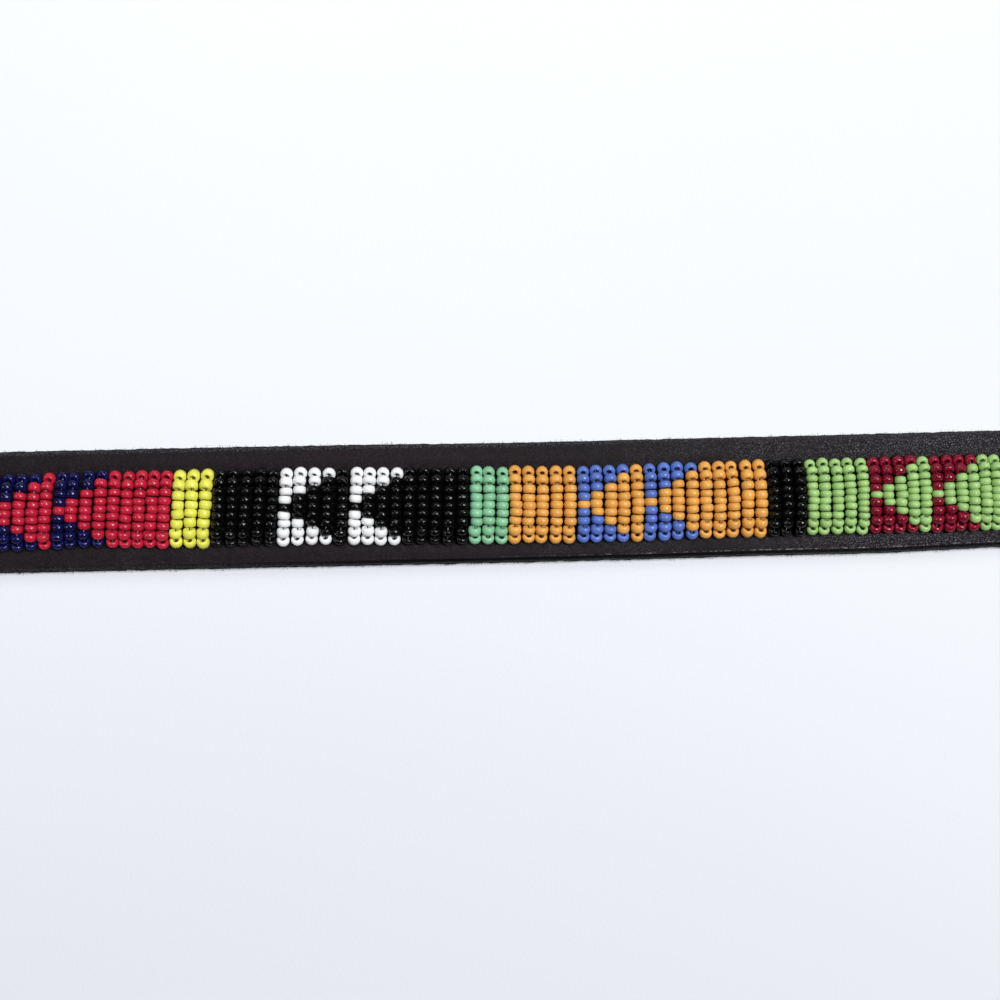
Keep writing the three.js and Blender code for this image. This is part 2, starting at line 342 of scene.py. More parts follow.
def leather_finish():
    """Near-black grain leather: smooth and brown towards the buckle, crackled and greyer towards the tip,
    with painted light and shade on its grain and lower edge.
    """
    look = Finish("grain leather")
    x, y, _ = look.parts(look.place)
    inset = look.attribute("inset")
    raw = look.attribute("raw")
    upper = look.ease(y, 0, 0.002)
    lower = 1 - upper
    tipward = look.ease(x, -0.1, 0.03)

    coarse = look.cloud(160, 4, 0.6)
    patches = look.cloud(45, 3, 0.55)
    crackled = look.ease(x + (patches - 0.5) * 0.14, -0.062, 0.045)
    crackled = crackled * (1 - look.ease(x, 0.06, 0.1) * look.ease(look.cloud(22, 2), 0.38, 0.62) * 0.65)
    crackled = crackled + look.ease(look.cloud(70, 2), 0.62, 0.75) * (1 - crackled) * 0.3
    warp = {0: look.cloud(500, 2).other("Color"), 1: (0.0008,) * 3, 2: look.place}
    warped = look.node("ShaderNodeVectorMath", warp, {"operation": "MULTIPLY_ADD"})
    cracks = 1 - look.ease(look.cells(1650, "DISTANCE_TO_EDGE", warped), 0.01, 0.19)
    fine = look.cloud(2700, 3, 0.65, look.stretched((0.75, 1.15, 1)))
    dome_highlights = look.ease(fine, 0.36, 0.66) * (1 - cracks)
    fibres = look.cloud(1, 3, 0.7, look.stretched((2600, 7000, 7000)))

    brown = look.blend(look.ease(coarse, 0.3, 0.75), (0.0085, 0.0052, 0.0072), (0.0115, 0.0078, 0.0095))
    brown = look.blend(tipward * 0.6, brown, (0.0068, 0.0055, 0.0066))
    brown = look.blend(look.ease(fine, 0.45, 0.72) * 0.6, brown, (0.03, 0.026, 0.03))
    # Painted highlights: the tops of the crackled grain are painted light, as if lit, over a greyer grain.
    grey = look.blend(dome_highlights, (0.0095, 0.008, 0.0105), (0.115, 0.102, 0.119))
    ground = look.blend(crackled * 0.92, brown, grey)
    # The cracks are darkened: painted shade in them, partly their own dark colour.
    ground = look.blend(cracks * (0.12 + crackled * 0.55), ground, (0.003, 0.0025, 0.0032))
    specks = look.ease(look.cells(700), 0.1, 0.04) * look.ease(look.cloud(260, 1), 0.52, 0.62)
    ground = look.blend(specks * 0.5, ground, (0.12, 0.11, 0.115))

    ragged = (look.cloud(1500, 3, 0.65) - 0.5) * 0.0014
    raw_tone = look.blend(look.ease(fibres, 0.5, 0.68), (0.004, 0.004, 0.0055), (0.2, 0.2, 0.225))
    torn = 1 - look.ease(inset + ragged, 0.0004, 0.0011)
    torn = torn * (upper * (0.9 - tipward * 0.55) + lower * (1 - look.ease(x, -0.17, -0.1)) * 0.6)
    # Painted highlight: a broken light line where the top of the lower edge turns down.
    crest_highlight = look.ease(inset, 0.00108, 0.00122) * (1 - look.ease(inset, 0.00128, 0.00146))
    broken = look.ease(look.cloud(1, 4, 0.75, look.stretched((1050, 1200, 700))), 0.46, 0.7)
    # The lower side's sloping edge is painted near black: painted shade on the side away from the lights,
    # partly its burnished black edge.
    slope = (1 - look.ease(inset, 0.00095, 0.00115)) * lower * look.ease(x, -0.2, -0.1)
    ground = look.blend(slope * 0.97, ground, (0.0018, 0.0017, 0.0022))
    ground = look.blend(torn, ground, raw_tone)
    ground = look.blend(crest_highlight * broken * lower * look.ease(x, -0.1, 0.0), ground, (0.34, 0.33, 0.34))
    ground = look.blend(raw * 0.8, ground, raw_tone)

    rough = 0.6 + (coarse - 0.5) * 0.3 - crackled * 0.1 - slope * 0.1 + torn * 0.3 + raw * 0.3
    height = cracks * -0.8 * (0.3 + crackled) + fine * (0.25 + crackled) + coarse * 0.5
    height = height + (torn + raw) * fibres * 1.6
    return look.set(
        Base_Color=ground,
        Roughness=look.math("ADD", rough, 0.0, clamp=True),
        Specular_IOR_Level=0.12,
        Normal=look.bump(height, 0.08),
    )


def backing_finish():
    """Dark leather with a raw, fibrous edge."""
    look = Finish("raw-edged leather")
    fibres = look.cloud(1, 3, 0.7, look.stretched((1400, 3600, 6500)))
    patches = look.cloud(90, 4, 0.6)
    tone = look.blend(look.ease(fibres, 0.4, 0.72), (0.005, 0.005, 0.006), (0.06, 0.058, 0.064))
    tone = look.blend(look.ease(patches, 0.4, 0.7) * 0.4, tone, (0.018, 0.016, 0.016))
    return look.set(
        Base_Color=tone,
        Roughness=0.82 + (patches - 0.5) * 0.2,
        Specular_IOR_Level=0.15,
        Normal=look.bump(fibres + look.cloud(2600, 3) * 0.6, 0.09),
    )


def nickel_finish():
    """Satin nickel with fine rubbing marks and duller patches."""
    look = Finish("satin nickel")
    marks = look.cloud(1, 3, 0.6, look.stretched((900, 5200, 2600)))
    patches = look.cloud(140, 3, 0.6)
    tone = look.blend(look.ease(patches, 0.4, 0.75), (0.50, 0.48, 0.44), (0.36, 0.34, 0.30))
    return look.set(
        Base_Color=tone,
        Metallic=1.0,
        Roughness=0.26 + (patches - 0.5) * 0.2 + (marks - 0.5) * 0.14,
        Normal=look.bump(marks, 0.012),
    )


def thread_finish(name, dark, light, rough=0.7, glints=False):
    """Twisted thread. With glints, most of it is painted dark as shade, and only a few painted glints of its
    light tone are left.
    """
    look = Finish(name)
    twist = look.cloud(5200, 2, 0.6)
    share = look.ease(twist, 0.3, 0.7)
    if glints:
        share = share * look.ease(look.cloud(330, 1), 0.53, 0.61)
    tone = look.blend(share, dark, light)
    return look.set(Base_Color=tone, Roughness=rough + (twist - 0.5) * 0.1, Normal=look.bump(twist, 0.05))


def cloth_finish():
    """The pale cloth that the belt lies on, with a patch of painted shade beside it."""
    look = Finish("pale cloth")
    painted_shade_centre = ((MIDDLE_X - 60) * MM, -0.35, 0)
    ends = {0: look.place, 1: painted_shade_centre}
    away = look.node("ShaderNodeVectorMath", ends, {"operation": "DISTANCE"}, output="Value")
    weave = look.cloud(1, 2, 0.6, look.stretched((1500, 900, 900)))
    tone = look.blend(look.cloud(6, 2), (0.80, 0.815, 0.85), (0.83, 0.84, 0.865))
    # Painted shade: the cloth is darker and bluer within a soft patch beside the belt.
    tone = look.blend(look.ease(away, 0.24, 0.4), (0.75, 0.755, 0.81), tone)
    return look.set(Base_Color=tone, Roughness=0.9, Specular_IOR_Level=0.2, Normal=look.bump(weave, 0.04))


GLASS = {
    "black": glass_finish("black glass", (0.0001, 0.0001, 0.0001), 0.14, specular=0.3, ripples=0.14),
    "white": glass_finish("white glass", (0.94, 0.94, 0.955), 0.3, spread=0.06, cloudy=0.03, darkest=0.75),
    "mint": glass_finish("mint glass", (0.235, 0.52, 0.305), 0.32),
    "orange": glass_finish("orange glass", (0.82, 0.362, 0.074), 0.3),
    "blue": glass_finish("blue glass", (0.097, 0.168, 0.52), 0.26, spread=0.35),
    "lime": glass_finish("lime glass", (0.345, 0.56, 0.19), 0.32),
    # For dark red and navy glass, the fourth value is the painted glow of light at the rim.
    "dark_red": glass_finish("dark red glass", (0.175, 0.0025, 0.015), 0.14, (0.32, 0.008, 0.04), 0.4),
    "red": glass_finish("red glass", (0.48, 0.012, 0.038), 0.25, spread=0.25),
    "navy": glass_finish(
        "navy glass", (0.003, 0.0028, 0.045), 0.14, (0.008, 0.009, 0.11), 0.5, specular=0.35
    ),
    "yellow": glass_finish("yellow glass", (0.86, 0.77, 0.095), 0.3, spread=0.2),
}
# How square the beads' section is: 2 is round. The glass of some colours is cut squarer.
SQUARENESS = dict.fromkeys(GLASS, 2.15)
SQUARENESS |= {"yellow": 2.8, "mint": 2.5, "white": 2.5, "orange": 2.45, "red": 2.35, "blue": 2.25}
SQUARENESS["black"] = 2.2
LEATHER = leather_finish()
BACKING_LEATHER = backing_finish()
NICKEL = nickel_finish()
# The pale thread's dark tone is painted shade, and its few light spots are painted glints.
PALE_THREAD = thread_finish("pale thread", (0.012, 0.011, 0.011), (0.5, 0.48, 0.45), glints=True)
BLACK_THREAD = thread_finish("black thread", (0.008, 0.007, 0.007), (0.04, 0.036, 0.034), 0.5)


# ---- Geometry Nodes


def new_tree(name, sizes):
    """A tree with its geometry, its named sizes and its material as inputs, and its nodes' wires."""
    tree = bpy.data.node_groups.new(name, "GeometryNodeTree")
    tree.interface.new_socket("Geometry", in_out="INPUT", socket_type="NodeSocketGeometry")
    for size, kind in sizes.items():
        tree.interface.new_socket(size, in_out="INPUT", socket_type="NodeSocket" + kind)
    tree.interface.new_socket("Material", in_out="INPUT", socket_type="NodeSocketMaterial")
    tree.interface.new_socket("Geometry", in_out="OUTPUT", socket_type="NodeSocketGeometry")
    nodes = Nodes(tree)
    return nodes, nodes.node("NodeGroupInput")


def end_tree(nodes, start, geometry):
    geometry = nodes.node("GeometryNodeRealizeInstances", {0: geometry})
    geometry = nodes.node("GeometryNodeSetShadeSmooth", {0: geometry})
    geometry = nodes.node("GeometryNodeSetMaterial", {0: geometry, "Material": start.other("Material")})
    end = nodes.tree.nodes.new("NodeGroupOutput")
    nodes.tree.links.new(geometry.socket, end.inputs[0])
    return nodes.tree


def named(nodes, name, kind="FLOAT"):
    return nodes.node("GeometryNodeInputNamedAttribute", {"Name": name}, {"data_type": kind})


def ring(nodes, sides, radius=1.0):
    return nodes.node("GeometryNodeCurvePrimitiveCircle", {"Resolution": sides, "Radius": radius})


def scatter(nodes, geometry, shape, seed):
    """A copy of shape on each point, its Z axis along the point's direction, turned at random about it."""
    circle = {2: 0.0, 3: 2 * pi, "Seed": seed}
    turn = nodes.node("FunctionNodeRandomValue", circle, {"data_type": "FLOAT"}, output=1)
    spin = nodes.node("FunctionNodeAxisAngleToRotation", {"Axis": (0, 0, 1), "Angle": turn})
    along, size = named(nodes, "along", "FLOAT_VECTOR"), named(nodes, "size", "FLOAT_VECTOR")
    facing = nodes.node("FunctionNodeAlignRotationToVector", {"Vector": along}, {"axis": "Z"})
    rotation = nodes.node("FunctionNodeRotateRotation", {0: facing, 1: spin}, {"rotation_space": "LOCAL"})
    inputs = {"Points": geometry, "Instance": shape, "Rotation": rotation, "Scale": size}
    return nodes.node("GeometryNodeInstanceOnPoints", inputs)


def bead_tree():
    """A ring with a rounded square section, its hole along Z."""
    sizes = {"Diameter": "Float", "Hole": "Float", "Length": "Float", "Squareness": "Float", "Seed": "Int"}
    nodes, start = new_tree("Seed beads", sizes)
    across, hole, half_length = start.other("Diameter"), start.other("Hole"), start.other("Length") * 0.5
    deep = across * BEAD_ROUNDING
    middle = across * 0.5 - deep  # of the section, from the hole's axis
    x, y, _ = nodes.parts(nodes.node("GeometryNodeInputPosition"))
    angle = nodes.math("ARCTAN2", y, x)
    power = 2 / start.other("Squareness")

    def rounded(wave, half):
        size = nodes.math("ABSOLUTE", wave) ** power
        return nodes.math("SIGN", wave) * size * half

    outwards = rounded(nodes.math("COSINE", angle), 1.0)
    inner = middle - hole * 0.5
    aside = nodes.math("MAXIMUM", outwards, 0.0) * deep + nodes.math("MINIMUM", outwards, 0.0) * inner
    lengthways = rounded(nodes.math("SINE", angle), half_length)
    point = nodes.node("ShaderNodeCombineXYZ", {0: aside, 1: lengthways})
    section = nodes.node("GeometryNodeSetPosition", {0: ring(nodes, BEAD_SECTION), "Position": point})
    bead = nodes.node("GeometryNodeCurveToMesh", {0: ring(nodes, BEAD_SIDES, middle), 1: section})
    _, _, end = nodes.parts(nodes.node("GeometryNodeInputPosition"))
    rim = nodes.math("ABSOLUTE", end) / half_length
    bead = nodes.node("GeometryNodeStoreNamedAttribute", {"Geometry": bead, "Name": "rim", "Value": rim})
    return end_tree(nodes, start, scatter(nodes, start, bead, start.other("Seed")))


def tube_tree():
    """A round tube along each line of edges, as thick as the points' own radius."""
    nodes, start = new_tree("Round wire", {"Sides": "Int"})
    line = nodes.node("GeometryNodeMeshToCurve", {0: start})
    section = ring(nodes, start.other("Sides"))
    inputs = {0: line, 1: section, "Scale": named(nodes, "radius"), "Fill Caps": True}
    tube = nodes.node("GeometryNodeCurveToMesh", inputs)
    return end_tree(nodes, start, tube)


def fibre_tree():
    """Short bent hairs that taper to their ends."""
    nodes, start = new_tree("Leather fibres", {"Length": "Float", "Radius": "Float", "Seed": "Int"})
    length = start.other("Length")
    line = nodes.node("GeometryNodeMeshLine", {"Count": 3, "Offset": (0, 0, 0.5)}, {"mode": "OFFSET"})
    _, _, z = nodes.parts(nodes.node("GeometryNodeInputPosition"))
    bent = nodes.node("ShaderNodeCombineXYZ", {0: z * z * length * 0.4, 1: 0.0, 2: z * length})
    line = nodes.node("GeometryNodeSetPosition", {0: line, "Position": bent})
    curve = nodes.node("GeometryNodeMeshToCurve", {0: line})
    thinner = 1.2 - nodes.node("GeometryNodeInputIndex") * 0.5
    inputs = {0: curve, 1: ring(nodes, 3, start.other("Radius")), "Scale": thinner, "Fill Caps": True}
    hair = nodes.node("GeometryNodeCurveToMesh", inputs)
    return end_tree(nodes, start, scatter(nodes, start, hair, start.other("Seed")))


def set_attributes(mesh, attributes):
    """A number or a vector for each point of the mesh, by name."""
    for key, values in attributes.items():
        values = np.asarray(values, np.float32)
        vector = values.ndim == 2
        made = mesh.attributes.new(key, "FLOAT_VECTOR" if vector else "FLOAT", "POINT")
        made.data.foreach_set("vector" if vector else "value", values.ravel())


def add_object(name, data):
    made = bpy.data.objects.new(name, data)
    bpy.context.scene.collection.objects.link(made)
    return made


def grow(name, points, edges, attributes, tree, material, sizes):
    """Runs a tree on points and returns the plain mesh that it makes."""
    seeds = bpy.data.meshes.new(name + " points")
    seeds.from_pydata([tuple(p) for p in points], edges, [])
    set_attributes(seeds, attributes)
    source = add_object(name + " source", seeds)
    modifier = source.modifiers.new("grow", "NODES")
    modifier.node_group = tree
    values = {**sizes, "Material": material}
    for item in tree.interface.items_tree:
        if item.in_out == "INPUT" and item.name in values:
            modifier[item.identifier] = values[item.name]
    evaluated = source.evaluated_get(bpy.context.evaluated_depsgraph_get())
    mesh = bpy.data.meshes.new_from_object(evaluated)
    mesh.name = name
    bpy.data.objects.remove(source)
    bpy.data.meshes.remove(seeds)
    return mesh


def add_line(points, edges, line):
    """Adds a line of points in millimetres, each joined to the next."""
    for k, point in enumerate(line):
        if k:
            edges.append((len(points) - 1, len(points)))
        points.append(point * MM)


def place(name, mesh, slot, *nodes):
    """Makes the piece, fixes it to the belt and hides the solids that it stands for."""
    piece = add_object(name, mesh)
    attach(piece, "root")
    if nodes:
        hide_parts(*nodes)
    return piece


# ---- beads


def bead_counts(ground):
    """How many beads each column of a motif has. Thinner beads need more of them."""
    counts = [9] * MOTIF_COLUMNS
    if ground == "orange":
        counts[-2:] = [8, 8]
    if ground == "lime":
        for column in [0, 1, 2, 3, 4, 8, 9, 14, 15, 16, 17, 18]:
            counts[column] = 10
        counts[4] = 11
    return counts


def motif_chart(ground):
    """The colours of each column of a motif, from one side of the strap to the other."""
    chart = []
    for column, count in enumerate(bead_counts(ground)):
        ends = 0
        for start in TRIANGLE_STARTS:
            if start <= column < start + len(TRIANGLE_ENDS):
                ends = TRIANGLE_ENDS[column - start]
        edge = [CONTRAST[ground]] * ends
        chart.append(edge + [ground] * (count - 2 * ends) + edge)
    return chart


def stripe_chart(colour):
    return [[colour] * (8 if colour == "yellow" else 9) for _ in range(STRIPE_COLUMNS)]


def stray(table, x):
    return np.interp(x, *zip(*table))


def lean(x):
    """The tangent of the columns' lean, which changes slowly along the belt."""
    return np.tan(np.radians(-2 + 3.4 * np.sin(2 * np.pi * (x + 81) / 430)))


def sway(x, y):
    """How far a bead is out of its straight column: the columns lean and bow a little."""
    bow = 0.225 * (1 + cos(2 * pi * x / 360))
    return -float(lean(x)) * y + bow * (1 - (y / 9) ** 2)


def column_beads(x, bead, colours, chance):
    """A column of beads: where each is, the direction of its hole, its size and its colour."""
    count = len(colours)
    strides = [1.0] * (count - 1)
    for k, stride in enumerate(END_STRIDES):
        strides[k] = strides[-1 - k] = stride
    width = FIELD_WIDTH * (1 + chance.uniform(-FIELD_SPREAD, FIELD_SPREAD))
    lengths = [1 + chance.gauss(0, LENGTH_SPREAD) for _ in range(count)]
    if "dark_red" in colours and "lime" in colours:
        longer = {"dark_red": DARK_RED["long"], "lime": LIME_BESIDE_DARK_RED}
        lengths = [n * longer[c] for n, c in zip(lengths, colours)]
    gaps = [strides[k] * (lengths[k] + lengths[k + 1]) / 2 for k in range(count - 1)]
    unit = (width - 2 * END_REACH) / sum(gaps)
    shift = float(stray(STRAY_Y, x)) + chance.gauss(0, SHIFT_SPREAD)
    aside = float(stray(STRAY_X, x)) + chance.gauss(0, ASIDE_SPREAD)
    turn = chance.gauss(0, TURN_SPREAD)
    y = END_REACH - width / 2
    beads = []
    for k, colour in enumerate(colours):
        if k:
            y += gaps[k - 1] * unit
        depth = min(k, count - 1 - k)
        side = 1 if k < count / 2 else -1
        if depth < len(END_TILTS):
            tilt = END_TILTS[depth] + chance.uniform(-1, 1) * END_TILT_SPREAD[depth]
            height = END_HEIGHTS[depth]
        else:
            tilt = chance.uniform(-1, 1) * MIDDLE_TILT_SPREAD
            height = MIDDLE_HEIGHT
        height -= (BEAD - bead) / 2
        slope = sway(x, y + 0.5) - sway(x, y - 0.5) + radians(chance.gauss(0, YAW_SPREAD))
        tilt = radians(tilt)
        along = Vector((slope * cos(tilt), cos(tilt), side * sin(tilt)))
        across = (1 + chance.gauss(0, WIDTH_SPREAD)) * (DARK_RED["wide"] if colour == "dark_red" else 1)
        at_x = x + aside + sway(x, y) + turn * y + chance.gauss(0, PLACE_SPREAD)
        at = (at_x, y + shift, FACE + height + (across - 1) * bead / 2)
        wide = across * bead / BEAD
        size = (wide, wide, unit * lengths[k] * CROWDING)
        lot = min(1.0, max(0.0, chance.gauss(0.5, SHADE_SPREAD)))
        beads.append({"colour": colour, "at": at, "along": along.normalized(), "size": size, "lot": lot})
    return beads


def read_blocks():
    """Each block of columns, from the buckle to the tip: its name, colour, columns' places and bead size."""
    made = []
    for name in BLOCKS:
        colour = name.split("_")[-1]
        bead, pitch = (SMALL_BEAD, SMALL_PITCH) if colour == "lime" else (BEAD, COLUMN_PITCH)
        count = MOTIF_COLUMNS if "motif" in name else STRIPE_COLUMNS
        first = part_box(name)[0].x / MM + bead / 2
        made.append((name, colour, [first + k * pitch for k in range(count)], bead))
    return made


def make_beads(blocks):
    """The beads of every block, one piece for each of its colours. Returns the columns."""
    tree = bead_tree()
    columns = []
    for number, (node, colour, places, bead) in enumerate(blocks):
        chart = motif_chart(colour) if "motif" in node else stripe_chart(colour)
        chance = random.Random(100 + number)
        made = [column_beads(x, bead, colours, chance) for x, colours in zip(places, chart)]
        columns += made
        for shade in dict.fromkeys(c for colours in chart for c in colours):
            own = [b for column in made for b in column if b["colour"] == shade]
            name = node.replace("bead_", "beads_").replace("_" + colour, "_" + shade)
            attributes = {key: [b[key] for b in own] for key in ("along", "size", "lot")}
            sizes = {
                "Diameter": BEAD * PLUMP * MM,
                "Hole": BEAD_HOLE * MM,
                "Length": MM,
                "Squareness": SQUARENESS[shade],
                "Seed": number,
            }
            points = [Vector(b["at"]) * MM for b in own]
            mesh = grow(name, points, [], attributes, tree, GLASS[shade], sizes)
            place(name, mesh, "beads_" + shade, *([node] if shade == colour else []))
    return columns


def make_thread(columns):
    """The pale thread that holds each column down, from one needle hole to the other."""
    points, edges = [], []
    for beads in columns:
        middles = [Vector(b["at"]) for b in beads]
        start = [middles[0] + Vector((0, -out, up)) for out, up in THREAD_END]
        end = [middles[-1] + Vector((0, out, up)) for out, up in reversed(THREAD_END)]
        add_line(points, edges, start + middles + end)
    radii = [THREAD * MM] * len(points)
    tree = tube_tree()
    mesh = grow("bead thread", points, edges, {"radius": radii}, tree, PALE_THREAD, {"Sides": THREAD_SIDES})
    place("bead_thread", mesh, "thread")
    return tree


# ---- leather


def mesh_from(name, points, faces, material, attributes):
    """A smooth mesh from points in millimetres. Its loose points are left out and its doubles merged."""
    mesh = bpy.data.meshes.new(name)
    mesh.from_pydata((np.asarray(points) * MM).tolist(), [], faces)
    set_attributes(mesh, attributes)
    work = bmesh.new()
    work.from_mesh(mesh)
    bmesh.ops.delete(work, geom=[v for v in work.verts if not v.link_faces], context="VERTS")
    bmesh.ops.remove_doubles(work, verts=work.verts, dist=1e-7)
    bmesh.ops.recalc_face_normals(work, faces=work.faces)
    work.to_mesh(mesh)
    work.free()
    mesh.polygons.foreach_set("use_smooth", [True] * len(mesh.polygons))
    mesh.materials.append(material)
    return mesh


def spans(*parts):
    """Stations from (start, end, step) parts that follow each other."""
    stations = []
    for start, end, step in parts:
        count = max(1, round((end - start) / step))
        stations += [start + (end - start) * k / count for k in range(count)]
    return stations + [parts[-1][1]]


# Where the rows of a strap's section are, by their distance from its middle line
CENTRE_ROWS = [-4.5, -3.0, -1.5, 0.0, 1.5, 3.0, 4.5]
FACE_ROWS = [6.2, 7.6, 8.2, 8.8, 9.4, 10.0, 10.7, 11.4, 12.0, 12.4, 12.62]
BACKING_ROWS = [9.0, 13.6]
UNDER_ROWS = [9.0, 13.3]
WINDOW = 4.5  # half the square of the mesh that is remade round a hole
# The rings from that square in to the hole: share of the way back out, distance from the hole, rim's drop
RIM_STEPS = [(0.62, 0.4, 0.0), (0.28, 0.4, 0.0), (0.0, 0.4, 0.0), (0.0, 0.15, 0.07), (0.0, 0.0, 0.28)]
FAR_INSIDE = 9.0  # from the strap's edges


def tip_stations(strap, length):
    """Stations on the rounded tip, closer to each other towards its end."""
    return [strap.tip_start + length * sin(pi / 2 * k / 24) for k in range(1, 25)]


def hole_parts(at, holes, step):
    """The parts of a strap from a station to the last hole, with the square of each hole."""
    parts = []
    for hole in holes:
        parts += [(at, hole - WINDOW, step), (hole - WINDOW, hole + WINDOW, 1.5)]
        at = hole + WINDOW
    return parts


class Strap:
    """A strap's closed mesh, made on its flat pattern: s along it, y across it, h over its flesh side."""

    def __init__(self, half, tip, rows, shoulder_turns, tip_start):
        self.half, self.tip, self.tip_start = half, tip, tip_start
        self.rows, self.turns = rows, shoulder_turns
        self.points, self.faces, self.raw, self.inset = [], [], [], []

    def add(self, s, y, h, inset, raw=0.0):
        self.points.append((s, y, h))
        self.inset.append(inset * MM)
        self.raw.append(raw)
        return len(self.points) - 1

    def edge(self, s):
        """How far out the outline is at a station, and the direction straight out of it."""
        if s <= self.tip_start:
            return self.half, 0.0, 1.0
        turn = asin(min(1.0, (s - self.tip_start) / self.tip))
        out = Vector((sin(turn) / self.tip, cos(turn) / self.half)).normalized()
        return self.half * cos(turn), out.x, out.y

    def ring(self, s, thickness, radius):
        """A section of the strap, as a closed loop of points."""
        reach, out_s, out_y = self.edge(s)
        loop = []

        def inner(y, h, inset_from):
            share = y / (self.half - inset_from)
            across = share * (reach - inset_from * out_y)
            loop.append(self.add(s - inset_from * out_s, across, h, self.half - abs(y)))

        def outer(side, inset, h, raw):
            loop.append(self.add(s - inset * out_s, side * (reach - inset * out_y), h, inset, raw))

        shoulder = [(radius * (1 - sin(a)), thickness - radius * (1 - cos(a)), 0.0) for a in self.turns]
        wall = shoulder + [(0.0, 0.12, 1.0), (0.1, 0.0, 1.0)]
        for y in [-r for r in reversed(self.rows)] + CENTRE_ROWS + self.rows:
            inner(y, thickness, radius)
        for inset, h, raw in wall:
            outer(1, inset, h, raw)
        for y in UNDER_ROWS[::-1] + CENTRE_ROWS[::-1] + [-r for r in UNDER_ROWS]:
            inner(y, 0.0, 0.1)
        for inset, h, raw in reversed(wall):
            outer(-1, inset, h, raw)
        return loop

    def build(self, stations, thickness_at, openings):
        rings, sizes = [], []
        for s in stations:
            thickness = thickness_at(s)
            radius = min(SHOULDER, SHOULDER_SHARE * thickness) if self.rows is FACE_ROWS else 0.15
            rings.append(self.ring(s, thickness, radius))
            sizes.append(thickness)
        count = len(rings[0])
        first = len(self.rows)
        top = {y: first + k for k, y in enumerate(CENTRE_ROWS)}
        first = count - len(self.turns) - 2 - len(UNDER_ROWS) - len(CENTRE_ROWS)
        under = {y: first + k for k, y in enumerate(CENTRE_ROWS[::-1])}
        cut = set()
        for start, end, radius in openings:
            low = min(range(len(stations)), key=lambda i: abs(stations[i] - (start - WINDOW)))
            high = min(range(len(stations)), key=lambda i: abs(stations[i] - (end + WINDOW)))
            cut.update((i, y) for i in range(low, high) for y in CENTRE_ROWS[:-1])
            self.open(rings, sizes, stations, low, high, start, end, radius, top, under)
        for i in range(len(rings) - 1):
            for j in range(count):
                k = (j + 1) % count
                if not any((i, y) in cut and (top[y] == j or under[y] == k) for y in CENTRE_ROWS[:-1]):
                    self.faces.append((rings[i][j], rings[i][k], rings[i + 1][k], rings[i + 1][j]))
        self.faces.append(tuple(rings[0]))
        for point in rings[0]:
            self.raw[point] = 1.0

    def open(self, rings, sizes, stations, low, high, start, end, radius, top, under):
        """Remakes the square round a hole as rings that close in on it, with a rounded rim and a wall."""
        border = [(i, CENTRE_ROWS[0]) for i in range(low, high)]
        border += [(high, y) for y in CENTRE_ROWS[:-1]]
        border += [(i, CENTRE_ROWS[-1]) for i in range(high, low, -1)]
        border += [(low, y) for y in CENTRE_ROWS[:0:-1]]
        loops = [[rings[i][top[y]] for i, y in border]]
        for face, steps in (("top", RIM_STEPS), ("under", RIM_STEPS[::-1])):
            for share, clear, drop in steps:
                loop = []
                for i, y in border:
                    corner = Vector((stations[i], y))
                    centre = Vector((min(max(stations[i], start), end), 0))
                    away = (corner - centre).normalized()
                    at = (centre + away * (radius + clear)).lerp(corner, share)
                    h = sizes[i] - drop if face == "top" else drop * 0.5
                    loop.append(self.add(at.x, at.y, h, FAR_INSIDE, 1.0 if clear == 0 else 0.0))
                loops.append(loop)
        loops.append([rings[i][under[y]] for i, y in border])
        for one, two in zip(loops, loops[1:]):
            for k in range(len(border)):
                m = (k + 1) % len(border)
                self.faces.append((one[k], one[m], two[m], two[k]))


def front_path():
    """The front's flesh side from its folded end, round the bar and on to the tip, as a table by s."""
    rows = [(0.0, FOLD_UNDER, BACKING, 0.0, -1.0, SKIVED), (FOLD_UNDER, 0.0, BACKING, 0.0, -1.0, SKIVED)]
    arc = pi * FOLD_RADIUS
    for k in range(1, 61):
        turn = -pi / 2 - pi * k / 60
        x, z = FOLD_RADIUS * cos(turn), BAR_HEIGHT + FOLD_RADIUS * sin(turn)
        rows.append((FOLD_UNDER + arc * k / 60, x, z, cos(turn), sin(turn), SKIVED))
    drop = BAR_HEIGHT + FOLD_RADIUS - FLESH
    for k in range(1, 81):
        share = k / 80
        angle = atan(-drop * pi / 2 / FOLD_RAMP * sin(pi * share))
        z = FLESH + drop * (0.5 + 0.5 * cos(pi * share))
        thick = SKIVED + (FRONT - SKIVED) * share
        x = FOLD_RAMP * share
        rows.append((FOLD_UNDER + arc + x, x, z, -sin(angle), cos(angle), thick))
    end = STRAP_END + 1
    rows.append((FOLD_UNDER + arc + end, end, FLESH, 0.0, 1.0, FRONT))
    return np.array(rows).T


def relief(x, y, middles):
    """How far the face stands out or is pressed in: needle dents at the columns' ends, swells beside them."""
    out = y - stray(STRAY_Y, x)
    side = np.sign(out)
    across = np.abs(out) - (FIELD_WIDTH / 2 - 0.35)
    at = x - stray(STRAY_X, x) + lean(x) * side * FIELD_WIDTH / 2
    nearest = np.searchsorted((middles[1:] + middles[:-1]) / 2, at)
    depth = DENT + DENT_SPREAD * np.sin(nearest * 12.99 + side * 4.1)
    dent = depth * np.exp(-(((at - middles[nearest]) / DENT_RADIUS) ** 2) - (across / DENT_RADIUS) ** 2)
    swell = SWELL * np.exp(-(((across - 1.9) / 1.2) ** 2))
    inside = (x > middles[0] - 3) & (x < middles[-1] + 3)
    return np.where(inside, swell - dent - SUNK * (across < -0.8), 0.0)


def wave(u, v, w):
    """Smooth noise at many points, about -1 to 1."""
    return np.array([noise.noise(Vector(p)) for p in np.broadcast(u, v, w)])


def wander(x, y):
    """How far the hand-cut edges stray outwards, more the nearer a point is to them."""
    outwards = np.where(y > 0, stray(UPPER_EDGE, x), stray(LOWER_EDGE, x))
    return np.sign(y) * outwards * np.clip((np.abs(y) - 9.5) / 3.0, 0, 1)


